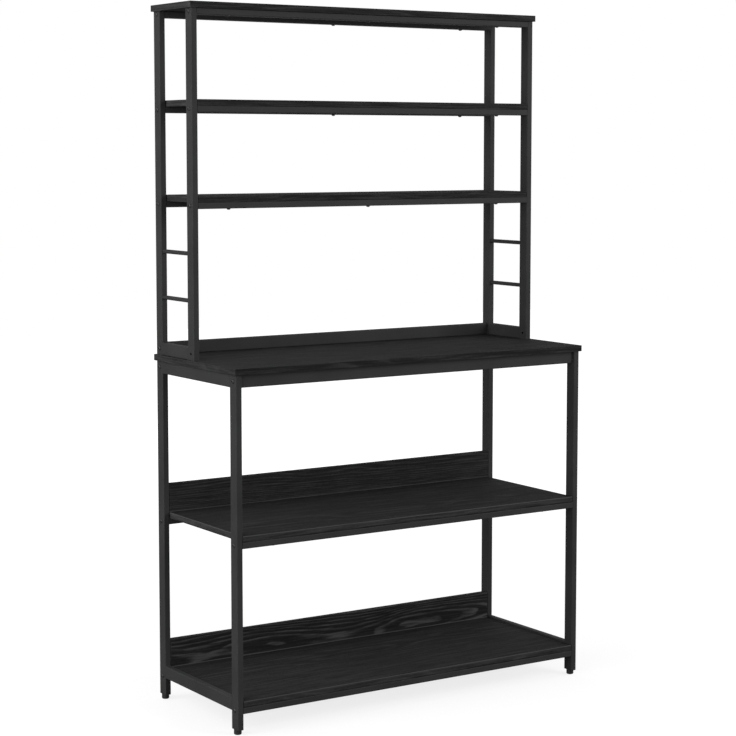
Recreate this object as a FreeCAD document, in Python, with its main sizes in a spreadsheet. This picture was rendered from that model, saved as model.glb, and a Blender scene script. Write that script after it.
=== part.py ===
import FreeCAD, Part
import os
import Sketcher

# A free-standing kitchen rack: a counter-height lower section with a shallow hutch on its rear half.
# Millimetres. The origin is on the floor at the middle of the rack, +X to the right seen from the
# front, +Y to the rear and +Z up. The side frames are rectangular steel tube, welded; long rails are
# bolted between them, and the boards lie on the long rails.

Vector = FreeCAD.Vector
Rotation = FreeCAD.Rotation
Constraint = Sketcher.Constraint

doc = FreeCAD.newDocument("KitchenShelf")

DRIVING_SIZES = (
    ("overall_width", "1000"),
    ("overall_depth", "400"),
    ("hutch_depth", "200"),
    # Heights: the top of the base shelf, then the pitch of the bays above it
    ("base_top", "79"),
    ("bay_pitch", "384"),
    ("hutch_bay_pitch", "224.5"),
    # Frame tube
    ("tube_deep", "30"),
    ("tube_wide", "15"),
    ("tube_wall", "1"),
    ("tube_corner_share", "2"),
    ("side_rail_rise", "5"),
    # Boards
    ("board_thickness", "15"),
    ("board_overhang", "5"),
    ("board_end_gap", "1"),
    ("board_edge_round", "0.8"),
    ("back_board_height", "70"),
    # Hook bars at the hutch's ends
    ("bar_radius", "5"),
    ("bar_rise", "139"),
    ("bar_pitch", "110.5"),
    # Frame bolts and the threaded blocks they bite in
    ("bolt_radius", "3"),
    ("bolt_head_radius", "5.5"),
    ("bolt_head_height", "2.5"),
    ("bolt_clearance", "0.25"),
    ("rail_block_length", "14"),
    ("post_block_length", "10"),
    # Shares of a head's radius taken by its flat face and its socket, and of its height by the socket
    ("head_face_share", "0.72"),
    ("head_socket_share", "0.42"),
    ("head_depth_share", "0.6"),
    # Wood screws under the long rails
    ("screw_radius", "2"),
    ("screw_head_radius", "4.5"),
    ("screw_head_height", "3"),
    ("screw_clearance", "0.15"),
    ("screw_bite_share", "0.65"),
    ("back_screw_bite_share", "0.36"),
    ("screw_end_share", "0.092"),
    # Room round a head that is reached through a hole in the lower wall of a rail on edge
    ("head_clearance", "0.5"),
    # Levelling feet and the plugs that hold them
    ("foot_pad_height", "12"),
    ("foot_pad_radius", "9"),
    ("foot_pad_round", "3"),
    ("foot_pad_floor", "4"),
    ("foot_clearance", "0.1"),
    ("stud_radius", "4"),
    ("stud_tip", "0.8"),
    ("stud_grip", "25"),
    ("plug_flange", "3"),
    ("plug_length", "18"),
)

DERIVED_SIZES = (
    # Places of the posts, and the clear run of the long rails between them
    ("post_x", "Sizes.overall_width / 2 - Sizes.board_overhang - Sizes.tube_wide / 2"),
    ("rear_y", "Sizes.overall_depth / 2 - Sizes.board_overhang - Sizes.tube_deep / 2"),
    ("hutch_depth_outside", "Sizes.hutch_depth - 2 * Sizes.board_overhang"),
    ("hutch_front_y", "rear_y + Sizes.tube_deep - hutch_depth_outside"),
    ("hutch_middle_y", "(rear_y + hutch_front_y) / 2"),
    ("hutch_rail_offset", "(rear_y - hutch_front_y) / 2"),
    ("bar_front_y", "hutch_front_y + Sizes.tube_deep / 2"),
    ("frame_x", "post_x + Sizes.tube_wide / 2"),
    ("clear_run", "2 * post_x - Sizes.tube_wide"),
    ("clear_depth", "2 * rear_y - Sizes.tube_deep"),
    ("hutch_clear_depth", "rear_y - hutch_front_y - Sizes.tube_deep"),
    # Heights of the boards
    ("post_bottom", "Sizes.foot_pad_height + Sizes.plug_flange"),
    ("middle_top", "Sizes.base_top + Sizes.bay_pitch"),
    ("counter_top", "middle_top + Sizes.bay_pitch"),
    ("lower_hutch_top", "counter_top + Sizes.bay_pitch"),
    ("upper_hutch_top", "lower_hutch_top + Sizes.hutch_bay_pitch"),
    ("rack_top", "upper_hutch_top + Sizes.hutch_bay_pitch"),
    ("base_bottom", "Sizes.base_top - Sizes.board_thickness"),
    ("middle_bottom", "middle_top - Sizes.board_thickness"),
    ("counter_bottom", "counter_top - Sizes.board_thickness"),
    ("lower_hutch_bottom", "lower_hutch_top - Sizes.board_thickness"),
    ("upper_hutch_bottom", "upper_hutch_top - Sizes.board_thickness"),
    ("top_bottom", "rack_top - Sizes.board_thickness"),
    # Mid-heights of the rails: flat rails under a shelf, rails on edge at the counter
    ("base_rail_z", "base_bottom - Sizes.tube_wide / 2"),
    ("middle_rail_z", "middle_bottom - Sizes.tube_wide / 2"),
    ("counter_rail_z", "counter_bottom - Sizes.tube_deep / 2"),
    ("lower_hutch_rail_z", "lower_hutch_bottom - Sizes.tube_wide / 2"),
    ("upper_hutch_rail_z", "upper_hutch_bottom - Sizes.tube_wide / 2"),
    ("top_rail_z", "top_bottom - Sizes.tube_wide / 2"),
    ("counter_seat", "counter_bottom - Sizes.tube_wall"),
    ("post_block_bottom", "counter_bottom - Sizes.post_block_length"),
    ("skirt_z", "counter_top + Sizes.tube_deep / 2"),
    ("base_side_rail_z", "Sizes.base_top + Sizes.side_rail_rise - Sizes.tube_deep / 2"),
    ("lower_bar_z", "counter_top + Sizes.bar_rise"),
    ("upper_bar_z", "lower_bar_z + Sizes.bar_pitch"),
    ("lower_post_length", "counter_bottom - post_bottom"),
    ("hutch_post_length", "top_bottom - counter_top"),
    # Boards between the posts, and where the back boards stand
    ("shelf_length", "clear_run - 2 * Sizes.board_end_gap"),
    ("shelf_depth", "2 * rear_y + Sizes.tube_deep"),
    ("back_board_y", "rear_y - Sizes.tube_deep / 2 + Sizes.board_thickness / 2"),
    # Inside of the tube, holes and fastener lengths
    ("bore_deep", "Sizes.tube_deep - 2 * Sizes.tube_wall"),
    ("bore_wide", "Sizes.tube_wide - 2 * Sizes.tube_wall"),
    ("tube_corner", "Sizes.tube_wall * Sizes.tube_corner_share"),
    ("bore_corner", "tube_corner - Sizes.tube_wall"),
    ("bolt_hole", "Sizes.bolt_radius + Sizes.bolt_clearance"),
    ("bolt_length", "Sizes.tube_wide + Sizes.rail_block_length"),
    ("screw_hole", "Sizes.screw_radius + Sizes.screw_clearance"),
    ("screw_access", "Sizes.screw_head_radius + Sizes.head_clearance"),
    ("bolt_access", "Sizes.bolt_head_radius + Sizes.head_clearance"),
    ("screw_bite", "Sizes.board_thickness * Sizes.screw_bite_share"),
    ("back_screw_bite", "Sizes.back_board_height * Sizes.back_screw_bite_share"),
    ("screw_x", "clear_run * (1 / 2 - Sizes.screw_end_share)"),
    ("shelf_screw_length", "Sizes.tube_wide + screw_bite"),
    ("counter_screw_length", "Sizes.tube_wall + screw_bite"),
    ("back_screw_length", "Sizes.tube_wide + Sizes.board_thickness + back_screw_bite"),
    ("hutch_bolt_length", "Sizes.tube_wall + Sizes.board_thickness + Sizes.post_block_length"),
    ("hutch_stud_length", "Sizes.board_thickness + 2 * Sizes.post_block_length"),
    # Levelling feet
    ("stud_hole", "Sizes.stud_radius + Sizes.foot_clearance"),
    ("stud_bottom", "Sizes.foot_pad_floor + Sizes.foot_clearance"),
    ("stud_length", "post_bottom + Sizes.stud_grip - stud_bottom"),
    ("plug_height", "Sizes.plug_flange + Sizes.plug_length"),
)


def fill_sheet(name, rows, prefix):
    """Make a sheet with one named cell to a row."""
    sheet = doc.addObject("Spreadsheet::Sheet", name)
    for number, (alias, content) in enumerate(rows, start=1):
        sheet.set(f"A{number}", alias)
        sheet.set(f"B{number}", prefix + content)
        sheet.setAlias(f"B{number}", alias)
    doc.recompute()
    return sheet


fill_sheet("Sizes", DRIVING_SIZES, "")
levels = fill_sheet("Levels", DERIVED_SIZES, "=")

# Ways that a tube, drawn upright with its deep side along X, is turned into place
UPRIGHT = Rotation(Vector(0, 1, 0), Vector(-1, 0, 0), Vector(0, 0, 1), "XYZ")
LAID_FLAT = Rotation(Vector(0, 1, 0), Vector(0, 0, 1), Vector(1, 0, 0), "XYZ")
ON_EDGE = Rotation(Vector(0, 0, 1), Vector(0, -1, 0), Vector(1, 0, 0), "XYZ")
FRONT_TO_REAR = Rotation(Vector(0, 0, 1), Vector(1, 0, 0), Vector(0, 1, 0), "XYZ")
# Ways that a fastener, drawn pointing down, is turned: its head faces the way named
FACING_LEFT = Rotation(Vector(0, 0, 1), Vector(0, 1, 0), Vector(-1, 0, 0), "XYZ")
FACING_RIGHT = Rotation(Vector(0, 0, 1), Vector(0, -1, 0), Vector(1, 0, 0), "XYZ")
FACING_DOWN = Rotation(Vector(1, 0, 0), Vector(0, -1, 0), Vector(0, 0, -1), "XYZ")
UNTURNED = Rotation()

SIDES = (("left", -1), ("right", 1))
SOCKET_SIDES = 6
# Share of a unit direction above which an edge or a face counts as lying along it
ALONG_SHARE = 0.99

nodes = []


def value(expression):
    """The present value of a sheet expression."""
    return float(levels.evalExpression(expression))


def place(item, x, y, z, turn=UNTURNED):
    """Turn an object and bind its position to the sheets."""
    item.Placement = FreeCAD.Placement(Vector(), turn)
    for axis, expression in zip("xyz", (x, y, z)):
        item.setExpression(f".Placement.Base.{axis}", expression)


def new_body(label):
    body = doc.addObject("PartDesign::Body", label)
    body.Label = label
    return body


def new_sketch(body, name, role):
    """A sketch on one of the body's own origin planes."""
    sketch = body.newObject("Sketcher::SketchObject", name)
    plane = next(item for item in body.Origin.OriginFeatures if item.Role == role)
    sketch.AttachmentSupport = [(plane, "")]
    sketch.MapMode = "FlatFace"
    return sketch


def bind(sketch, constraint, name, expression):
    """Add a dimension to a sketch and bind it to the sheets."""
    sketch.renameConstraint(sketch.addConstraint(constraint), name)
    sketch.setExpression(f"Constraints.{name}", expression)


def draw_rectangle(sketch, across, up):
    """A rectangle centred on the sketch's origin."""
    x = value(across) / 2
    y = value(up) / 2
    corners = (Vector(-x, -y), Vector(x, -y), Vector(x, y), Vector(-x, y))
    sides = range(len(corners))
    following = [(side + 1) % len(corners) for side in sides]
    sketch.addGeometry([Part.LineSegment(corners[a], corners[b]) for a, b in zip(sides, following)])
    sketch.addConstraint([Constraint("Coincident", a, 2, b, 1) for a, b in zip(sides, following)])
    sketch.addConstraint([Constraint("Horizontal", side) for side in (0, 2)])
    sketch.addConstraint([Constraint("Vertical", side) for side in (1, 3)])
    sketch.addConstraint(Constraint("Symmetric", 0, 1, 1, 2, -1, 1))
    bind(sketch, Constraint("DistanceX", 0, 1, 0, 2, 2 * x), "across", across)
    bind(sketch, Constraint("DistanceY", 1, 1, 1, 2, 2 * y), "up", up)


def draw_circles(sketch, spots, radius):
    """Equal circles; each spot is a pair of expressions, and "0" keeps a centre on that axis."""
    for number, (x, y) in enumerate(spots):
        centre = Vector(value(x), value(y))
        sketch.addGeometry(Part.Circle(centre, Vector(0, 0, 1), value(radius)))
        if x == "0":
            sketch.addConstraint(Constraint("PointOnObject", number, 3, -2))
        else:
            bind(sketch, Constraint("DistanceX", -1, 1, number, 3, centre.x), f"x{number}", x)
        if y == "0":
            sketch.addConstraint(Constraint("PointOnObject", number, 3, -1))
        else:
            bind(sketch, Constraint("DistanceY", -1, 1, number, 3, centre.y), f"y{number}", y)
        bind(sketch, Constraint("Radius", number, value(radius)), f"radius{number}", radius)


def extrude(body, sketch, length, centred=False):
    pad = body.newObject("PartDesign::Pad", "Pad")
    pad.Profile = sketch
    pad.SideType = "Symmetric" if centred else "One side"
    pad.setExpression("Length", length)
    doc.recompute()
    return pad


def drill(body, role, spots, radius, depth=None, floor=None, one_way=False):
    """Round holes through both ways or one way from an origin plane, to a depth, or from a floor."""
    before = body.Shape.Volume
    sketch = new_sketch(body, "Holes", role)
    draw_circles(sketch, spots, radius)
    pocket = body.newObject("PartDesign::Pocket", "Pocket")
    pocket.Profile = sketch
    if depth:
        pocket.Reversed = True
        pocket.setExpression("Length", depth)
    elif floor:
        sketch.setExpression(".AttachmentOffset.Base.z", floor)
        pocket.Reversed = True
        pocket.Type = "ThroughAll"
    else:
        pocket.Type = "ThroughAll"
        pocket.SideType = "One side" if one_way else "Symmetric"
    doc.recompute()
    if body.Shape.Volume >= before:
        raise RuntimeError(f"the holes in {body.Label} cut nothing")


def round_edges(body, radius, chosen):
    """Round the edges of the body's tip that a test picks out."""
    base = body.Tip
    names = [f"Edge{i}" for i, edge in enumerate(base.Shape.Edges, start=1) if chosen(edge)]
    fillet = body.newObject("PartDesign::Fillet", "Fillet")
    fillet.Base = (base, names)
    fillet.setExpression("Radius", radius)
    doc.recompute()


def is_upright(edge):
    return abs(edge.tangentAt(edge.FirstParameter).z) > ALONG_SHARE


def round_bar(body, across, up, corner, length, centred=False):
    """A bar of rounded rectangular section along the body's Z axis."""
    sketch = new_sketch(body, "Section", "XY_Plane")
    draw_rectangle(sketch, across, up)
    extrude(body, sketch, length, centred)
    round_edges(body, corner, is_upright)


def hollow_out(body):
    """Leave only the tube's wall, open at both ends."""
    solid = body.Tip
    ends = [f"Face{i}" for i, face in enumerate(solid.Shape.Faces, start=1)
            if abs(face.normalAt(0, 0).z) > ALONG_SHARE]
    wall = body.newObject("PartDesign::Thickness", "Wall")
    wall.Base = (solid, ends)
    wall.Reversed = True
    wall.setExpression("Value", "Sizes.tube_wall")
    doc.recompute()


def tube(label, length, turn, at, hole="Levels.bolt_hole", wide=(), narrow=(), access=None, centred=True):
    """A length of frame tube, with holes through its wide faces, or its narrow ones with access below."""
    body = new_body(label)
    round_bar(body, "Sizes.tube_deep", "Sizes.tube_wide", "Levels.tube_corner", length, centred)
    hollow_out(body)
    if wide:
        drill(body, "XZ_Plane", wide, hole)
    if narrow:
        drill(body, "YZ_Plane", narrow, hole)
        drill(body, "YZ_Plane", narrow, access, one_way=True)
    place(body, *at, turn)
    nodes.append(body)


def board(label, length, depth, height, at, blind=(), through=(), bolts=(), bite="Levels.screw_bite"):
    """A board with eased edges, and holes from below for screws and bolts."""
    body = new_body(label)
    sketch = new_sketch(body, "Outline", "XY_Plane")
    draw_rectangle(sketch, length, depth)
    extrude(body, sketch, height)
    round_edges(body, "Sizes.board_edge_round", lambda edge: True)
    if blind:
        drill(body, "XY_Plane", blind, "Levels.screw_hole", bite)
    if through:
        drill(body, "XY_Plane", through, "Levels.screw_hole")
    if bolts:
        drill(body, "XY_Plane", bolts, "Levels.bolt_hole")
    place(body, *at)
    nodes.append(body)


def group(label, master, copies):
    """Identical pieces as one node: linked copies of a master, each in its own place."""
    links = []
    for number, (at, turn) in enumerate(copies, start=1):
        link = doc.addObject("App::Link", f"{label}_{number}")
        link.LinkedObject = master
        link.LinkTransform = False
        place(link, *at, turn)
        links.append(link)
    compound = doc.addObject("Part::Compound", label)
    compound.Label = label
    compound.Links = links
    nodes.append(compound)


def signed(sign, expression):
    """The expression for the right side, its opposite for the left."""
    return expression if sign > 0 else f"-({expression})"


# Posts, each with a hole at mid-width for every long rail it can take. The hutch's front posts are the
# same piece as its rear ones, so their hole for the rear skirt stays open.
LOWER_BOLT_LEVELS = ("base_rail_z", "middle_rail_z", "counter_rail_z")
HUTCH_BOLT_LEVELS = ("skirt_z", "lower_hutch_rail_z", "upper_hutch_rail_z", "top_rail_z")
LOWER_POSTS = (("front", "-Levels.rear_y"), ("rear", "Levels.rear_y"))
HUTCH_POSTS = (("front", "Levels.hutch_front_y"), ("rear", "Levels.rear_y"))

lower_holes = [("0", f"Levels.{level} - Levels.post_bottom") for level in LOWER_BOLT_LEVELS]
hutch_holes = [("0", f"Levels.{level} - Levels.counter_top") for level in HUTCH_BOLT_LEVELS]
for side, sign in SIDES:
    post_x = signed(sign, "Levels.post_x")
    for end, y in LOWER_POSTS:
        tube(f"lower_{end}_{side}_post", "Levels.lower_post_length", UPRIGHT,
             (post_x, y, "Levels.post_bottom"), wide=lower_holes, centred=False)
    for end, y in HUTCH_POSTS:
        tube(f"hutch_{end}_{side}_post", "Levels.hutch_post_length", UPRIGHT,
             (post_x, y, "Levels.counter_top"), wide=hutch_holes, centred=False)

# Rails and hook bars that run front to rear at each end, welded between the posts
for side, sign in SIDES:
    post_x = signed(sign, "Levels.post_x")
    tube(f"base_{side}_rail", "Levels.clear_depth", FRONT_TO_REAR,
         (post_x, "0", "Levels.base_side_rail_z"))
    tube(f"counter_{side}_rail", "Levels.clear_depth", FRONT_TO_REAR,
         (post_x, "0", "Levels.counter_rail_z"), narrow=[("0", "Levels.hutch_front_y")],
         access="Levels.bolt_access")
    tube(f"hutch_{side}_skirt", "Levels.hutch_clear_depth", FRONT_TO_REAR,
         (post_x, "Levels.hutch_middle_y", "Levels.skirt_z"))
    for rank in ("lower", "upper"):
        bar = doc.addObject("Part::Cylinder", f"{side}_{rank}_hook_bar")
        bar.setExpression("Radius", "Sizes.bar_radius")
        bar.setExpression("Height", "Levels.hutch_clear_depth")
        place(bar, post_x, "Levels.bar_front_y", f"Levels.{rank}_bar_z", FRONT_TO_REAR)
        nodes.append(bar)

# Long rails bolted between the side frames: how the tube lies, its line from front to rear, its
# mid-height, the line of the screws up through it, and which screws those are
FRONT = "-Levels.rear_y"
REAR = "Levels.rear_y"
HUTCH_FRONT = "Levels.hutch_front_y"
BACK_BOARD = "Levels.back_board_y"
LONG_RAILS = (
    ("base_front_rail", LAID_FLAT, FRONT, "Levels.base_rail_z", FRONT, "shelf_screws"),
    ("base_rear_rail", LAID_FLAT, REAR, "Levels.base_rail_z", BACK_BOARD, "back_board_screws"),
    ("middle_front_rail", LAID_FLAT, FRONT, "Levels.middle_rail_z", FRONT, "shelf_screws"),
    ("middle_rear_rail", LAID_FLAT, REAR, "Levels.middle_rail_z", BACK_BOARD, "back_board_screws"),
    ("counter_front_rail", ON_EDGE, FRONT, "Levels.counter_rail_z", FRONT, "counter_screws"),
    ("counter_rear_rail", ON_EDGE, REAR, "Levels.counter_rail_z", REAR, "counter_screws"),
    ("hutch_rear_skirt", ON_EDGE, REAR, "Levels.skirt_z", REAR, "no_screws"),
    ("lower_hutch_front_rail", LAID_FLAT, HUTCH_FRONT, "Levels.lower_hutch_rail_z", HUTCH_FRONT,
     "shelf_screws"),
    ("lower_hutch_rear_rail", LAID_FLAT, REAR, "Levels.lower_hutch_rail_z", REAR, "shelf_screws"),
    ("upper_hutch_front_rail", LAID_FLAT, HUTCH_FRONT, "Levels.upper_hutch_rail_z", HUTCH_FRONT,
     "shelf_screws"),
    ("upper_hutch_rear_rail", LAID_FLAT, REAR, "Levels.upper_hutch_rail_z", REAR, "shelf_screws"),
    ("top_front_rail", LAID_FLAT, HUTCH_FRONT, "Levels.top_rail_z", HUTCH_FRONT, "shelf_screws"),
    ("top_rear_rail", LAID_FLAT, REAR, "Levels.top_rail_z", REAR, "shelf_screws"),
)
SCREW_SPOTS = ("-Levels.screw_x", "0", "Levels.screw_x")

bolt_copies = []
block_copies = []
screw_copies = {"shelf_screws": [], "counter_screws": [], "back_board_screws": []}
for label, turn, y, z, screw_y, screws in LONG_RAILS:
    across = "0" if screw_y == y else f"{screw_y} - {y}"
    holes = [(across, along) for along in SCREW_SPOTS] if screws in screw_copies else []
    faces = {"wide": holes} if turn is LAID_FLAT else {"narrow": holes, "access": "Levels.screw_access"}
    tube(label, "Levels.clear_run", turn, ("0", y, z), "Levels.screw_hole", **faces)
    seat = f"{z} - Sizes.tube_wide / 2" if turn is LAID_FLAT else "Levels.counter_seat"
    if screws in screw_copies:
        screw_copies[screws] += [((x, screw_y, seat), FACING_DOWN) for x in SCREW_SPOTS]
    block_copies.append((("-Levels.clear_run / 2", y, z), turn))
    block_copies.append((("Levels.clear_run / 2 - Sizes.rail_block_length", y, z), turn))
    bolt_copies.append((("-Levels.frame_x", y, z), FACING_LEFT))
    bolt_copies.append((("Levels.frame_x", y, z), FACING_RIGHT))

# Boards. The base and middle shelves carry a back board along their rear edge, held by screws that go
# right through the shelf.
front_screws = [(x, FRONT) for x in SCREW_SPOTS]
back_screws = [(x, BACK_BOARD) for x in SCREW_SPOTS]
for shelf, bottom, top in (("base", "Levels.base_bottom", "Sizes.base_top"),
                           ("middle", "Levels.middle_bottom", "Levels.middle_top")):
    board(f"{shelf}_shelf_board", "Levels.shelf_length", "Levels.shelf_depth", "Sizes.board_thickness",
          ("0", "0", bottom), blind=front_screws, through=back_screws)
    board(f"{shelf}_back_board", "Levels.shelf_length", "Sizes.board_thickness",
          "Sizes.back_board_height", ("0", BACK_BOARD, top),
          blind=[(x, "0") for x in SCREW_SPOTS], bite="Levels.back_screw_bite")

hutch_feet = [(signed(sign, "Levels.post_x"), y) for side, sign in SIDES for end, y in HUTCH_POSTS]
board("counter_board", "Sizes.overall_width", "Sizes.overall_depth", "Sizes.board_thickness",
      ("0", "0", "Levels.counter_bottom"),
      blind=[(x, y) for x in SCREW_SPOTS for y in (FRONT, REAR)], bolts=hutch_feet)

hutch_lines = ("-Levels.hutch_rail_offset", "Levels.hutch_rail_offset")
hutch_screws = [(x, y) for x in SCREW_SPOTS for y in hutch_lines]
for shelf in ("lower_hutch", "upper_hutch"):
    board(f"{shelf}_shelf_board", "Levels.shelf_length", "Levels.hutch_depth_outside",
          "Sizes.board_thickness", ("0", "Levels.hutch_middle_y", f"Levels.{shelf}_bottom"),
          blind=hutch_screws)
board("top_board", "Sizes.overall_width", "Sizes.hutch_depth", "Sizes.board_thickness",
      ("0", "Levels.hutch_middle_y", "Levels.top_bottom"), blind=hutch_screws)


# Fasteners, each kind a master drawn with its head's seat on the origin
def round_solid(name, low_radius, high_radius, height, z):
    """A cylinder, or a cone where the two radii differ."""
    if low_radius == high_radius:
        solid = doc.addObject("Part::Cylinder", name)
        solid.setExpression("Radius", low_radius)
    else:
        solid = doc.addObject("Part::Cone", name)
        solid.setExpression("Radius1", low_radius)
        solid.setExpression("Radius2", high_radius)
    solid.setExpression("Height", height)
    place(solid, "0", "0", z)
    return solid


def headed_fastener(name, kind, length):
    """A fastener pointing down, with a domed head that has a hexagon socket."""
    shank = round_solid(f"{name}_shank", f"Sizes.{kind}_radius", f"Sizes.{kind}_radius", length,
                        f"-({length})")
    radius = f"Sizes.{kind}_head_radius"
    height = f"Sizes.{kind}_head_height"
    head = round_solid(f"{name}_head", radius, f"{radius} * Sizes.head_face_share", height, "0")
    whole = doc.addObject("Part::Fuse", f"{name}_whole")
    whole.Base = shank
    whole.Tool = head
    socket = doc.addObject("Part::Prism", f"{name}_socket")
    socket.Polygon = SOCKET_SIDES
    socket.setExpression("Circumradius", f"{radius} * Sizes.head_socket_share")
    socket.setExpression("Height", height)
    place(socket, "0", "0", f"{height} * (1 - Sizes.head_depth_share)")
    fastener = doc.addObject("Part::Cut", name)
    fastener.Base = whole
    fastener.Tool = socket
    return fastener


def threaded_block(name, length):
    """A block that fills the tube's bore, drilled along its middle for a bolt."""
    block = new_body(name)
    round_bar(block, "Levels.bore_deep", "Levels.bore_wide", "Levels.bore_corner", length)
    drill(block, "XY_Plane", [("0", "0")], "Levels.bolt_hole")
    return block


group("frame_bolts", headed_fastener("frame_bolt", "bolt", "Levels.bolt_length"), bolt_copies)
group("rail_end_blocks", threaded_block("rail_end_block", "Sizes.rail_block_length"), block_copies)
for screws, length in (("shelf_screws", "Levels.shelf_screw_length"),
                       ("counter_screws", "Levels.counter_screw_length"),
                       ("back_board_screws", "Levels.back_screw_length")):
    group(screws, headed_fastener(screws[:-1], "screw", length), screw_copies[screws])

# The hutch stands on the counter: bolts come up from inside the counter's end rails into its front posts,
# and studs join its rear posts to the lower ones
rear_heads = [(signed(sign, "Levels.post_x"), REAR, "Levels.post_block_bottom") for side, sign in SIDES]
front_seats = [(signed(sign, "Levels.post_x"), HUTCH_FRONT, "Levels.counter_seat") for side, sign in SIDES]
block_spots = [(x, y, "Levels.counter_top") for x, y in hutch_feet] + rear_heads
group("post_end_blocks", threaded_block("post_end_block", "Sizes.post_block_length"),
      [(at, UPRIGHT) for at in block_spots])
group("hutch_front_bolts", headed_fastener("hutch_front_bolt", "bolt", "Levels.hutch_bolt_length"),
      [(at, FACING_DOWN) for at in front_seats])
hutch_stud = round_solid("hutch_rear_stud", "Sizes.bolt_radius", "Sizes.bolt_radius",
                         "Levels.hutch_stud_length", "0")
group("hutch_rear_studs", hutch_stud, [(at, UNTURNED) for at in rear_heads])


# Levelling feet: a plug in each lower post's end, a threaded stud in it and a pad on the stud
def leg_plug():
    """A plug with a flange as large as the tube, drilled for the stud."""
    plug = new_body("leg_plug")
    round_bar(plug, "Sizes.tube_deep", "Sizes.tube_wide", "Levels.tube_corner", "Sizes.plug_flange")
    sketch = new_sketch(plug, "Core", "XY_Plane")
    draw_rectangle(sketch, "Levels.bore_deep", "Levels.bore_wide")
    extrude(plug, sketch, "Levels.plug_height")
    flange = value("Sizes.plug_flange")
    round_edges(plug, "Levels.bore_corner",
                lambda edge: is_upright(edge) and edge.BoundBox.ZMax > flange + edge.BoundBox.ZMin)
    drill(plug, "XY_Plane", [("0", "0")], "Levels.stud_hole")
    return plug


def foot_pad(label, at):
    """A round pad with an eased rim and a socket for the stud."""
    pad = new_body(label)
    sketch = new_sketch(pad, "Section", "XY_Plane")
    draw_circles(sketch, [("0", "0")], "Sizes.foot_pad_radius")
    extrude(pad, sketch, "Sizes.foot_pad_height")
    half_height = value("Sizes.foot_pad_height") / 2
    round_edges(pad, "Sizes.foot_pad_round", lambda edge: edge.BoundBox.ZMax < half_height)
    drill(pad, "XY_Plane", [("0", "0")], "Levels.stud_hole", floor="Sizes.foot_pad_floor")
    place(pad, *at)
    nodes.append(pad)


def foot_stud(label, at):
    """A stud with bevelled ends."""
    stud = new_body(label)
    sketch = new_sketch(stud, "Section", "XY_Plane")
    draw_circles(sketch, [("0", "0")], "Sizes.stud_radius")
    rod = extrude(stud, sketch, "Levels.stud_length")
    rims = [f"Edge{i}" for i, edge in enumerate(rod.Shape.Edges, start=1) if edge.Closed]
    bevel = stud.newObject("PartDesign::Chamfer", "Bevel")
    bevel.Base = (rod, rims)
    bevel.setExpression("Size", "Sizes.stud_tip")
    place(stud, *at)
    nodes.append(stud)


plug_copies = []
for side, sign in SIDES:
    for end, y in LOWER_POSTS:
        x = signed(sign, "Levels.post_x")
        plug_copies.append(((x, y, "Sizes.foot_pad_height"), UPRIGHT))
        foot_pad(f"{end}_{side}_foot_pad", (x, y, "0"))
        foot_stud(f"{end}_{side}_foot_stud", (x, y, "Levels.stud_bottom"))
group("leg_plugs", leg_plug(), plug_copies)

doc.recompute()

for item in doc.Objects:
    if "Invalid" in item.State or "Error" in item.State:
        raise RuntimeError(f"{item.Label} failed: {item.State}")
for node in nodes:
    if node.Shape.isNull() or not node.Shape.isValid():
        raise RuntimeError(f"{node.Label} has no valid shape")

os.makedirs("parts", exist_ok=True)
for node in nodes:
    node.Shape.exportStep(f"parts/{node.Label}.step")
    print(f"{node.Label}: {len(node.Shape.Solids)} solid(s), {node.Shape.Volume:.0f} cubic mm")
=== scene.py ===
# %% [markdown]
# This kitchen shelf has a lower part at counter height and a shallow hutch that stands on it. Its tubes,
# boards, bolts and feet are exact solids in the CAD model. They could be modelled again in Blender, but
# then two models would have to be kept alike, so the CAD solids are loaded and only dressed. Blender adds
# what CAD leaves out: the finishes, the weld beads, the fine shapes of the fasteners, the light and the
# camera.

# %% Load the CAD model
import math

import bmesh
import bpy
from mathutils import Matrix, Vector


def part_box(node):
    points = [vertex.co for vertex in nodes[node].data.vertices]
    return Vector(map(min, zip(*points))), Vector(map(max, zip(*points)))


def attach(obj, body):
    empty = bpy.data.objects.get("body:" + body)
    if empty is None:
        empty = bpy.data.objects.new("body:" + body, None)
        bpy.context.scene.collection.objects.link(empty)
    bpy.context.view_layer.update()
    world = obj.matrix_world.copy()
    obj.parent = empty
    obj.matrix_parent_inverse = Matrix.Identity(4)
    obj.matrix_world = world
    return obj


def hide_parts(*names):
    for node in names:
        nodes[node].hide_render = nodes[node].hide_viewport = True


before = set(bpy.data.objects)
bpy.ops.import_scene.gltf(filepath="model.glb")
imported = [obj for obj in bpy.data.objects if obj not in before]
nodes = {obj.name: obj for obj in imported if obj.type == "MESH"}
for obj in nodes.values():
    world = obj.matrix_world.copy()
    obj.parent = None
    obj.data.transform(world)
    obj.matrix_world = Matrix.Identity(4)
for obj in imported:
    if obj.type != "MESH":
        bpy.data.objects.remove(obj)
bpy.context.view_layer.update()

MM = 0.001

# %% [markdown]
# Every finish below is a small network of nodes. It could be wired by hand in the shader editor, but a
# script can be read, changed and run again. Wiring nodes one by one makes long scripts, so a few helpers
# come first: feed fills a socket with a number or a link, add makes a node and feeds its inputs, and the
# other two add the nodes for sums with numbers and vectors.

# %% Helpers for node trees
def feed(tree, value, target):
    if isinstance(value, bpy.types.NodeSocket):
        tree.links.new(value, target)
    else:
        target.default_value = value


def add(tree, kind, setting=None, **inputs):
    """A new node. Its setting is a name and a value. In the name of an input, _ stands for a space."""
    node = tree.nodes.new(kind)
    if setting:
        setattr(node, *setting)
    for label, value in inputs.items():
        feed(tree, value, node.inputs[label.replace("_", " ")])
    return node


def calc(tree, operation, *values):
    node = add(tree, "ShaderNodeMath", ("operation", operation))
    for value, target in zip(values, node.inputs):
        feed(tree, value, target)
    return node.outputs[0]


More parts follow.
